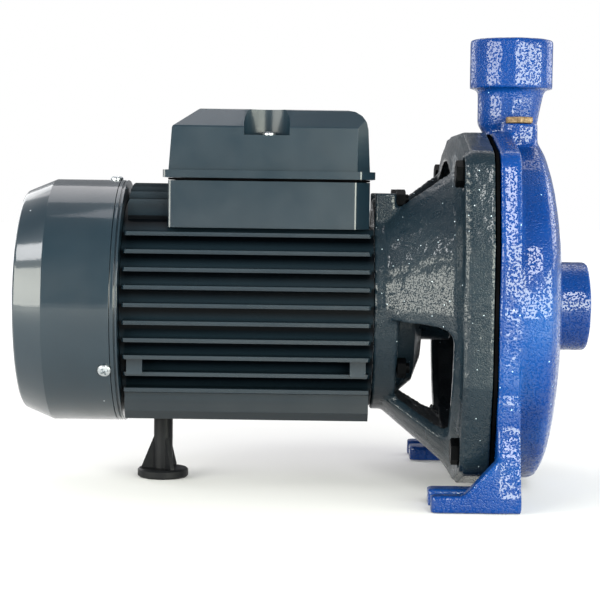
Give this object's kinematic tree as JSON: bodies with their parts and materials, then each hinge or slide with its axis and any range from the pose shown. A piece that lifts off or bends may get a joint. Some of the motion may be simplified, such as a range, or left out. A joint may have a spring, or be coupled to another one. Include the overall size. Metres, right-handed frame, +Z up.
{
  "type": "close-coupled centrifugal water pump",
  "caption": "Centrifugal water pump: finned electric motor, open cast bracket and round volute casing with front suction port and top discharge port.",
  "frame": {"origin": "centre of the bounding box at floor level, under the machine", "axes": "+X along the shaft from the fan end to the suction port, +Y away from the side with the priming plug, +Z up"},
  "size_m": [0.328, 0.22, 0.2595],
  "materials": {
    "motor_paint": "glossy dark blue-grey paint",
    "bracket_paint": "glossy dark grey paint over rough casting",
    "casing_paint": "glossy bright blue paint over rough casting",
    "black_plastic": "satin moulded plastic",
    "seal_rubber": "matt",
    "bright_steel": "turned",
    "plug_brass": "machined",
    "impeller_brass": "cast"
  },
  "bodies": {
    "root": {"fan_cover": "motor_paint", "cooling_fan": "black_plastic", "rear_end_shield": "motor_paint", "motor_housing": "motor_paint", "terminal_box_base": "motor_paint", "terminal_box_seal": "seal_rubber", "terminal_box_lid": "motor_paint", "cable_gland": "black_plastic", "gland_nut": "black_plastic", "motor_bracket": "bracket_paint", "bearing_housing": "bracket_paint", "seal_plate": "bright_steel", "seal_seat": "seal_rubber", "shaft_seal": "seal_rubber", "casing_gasket": "seal_rubber", "pump_casing": "casing_paint", "discharge_port": "casing_paint", "suction_port": "casing_paint", "near_foot": "casing_paint", "far_foot": "casing_paint", "priming_plug": "plug_brass", "impeller": "impeller_brass", "impeller_nut": "bright_steel", "wear_ring": "impeller_brass", "motor_shaft": "bright_steel", "water_slinger": "seal_rubber", "support_leg": "black_plastic"}
  },
  "joints": []
}
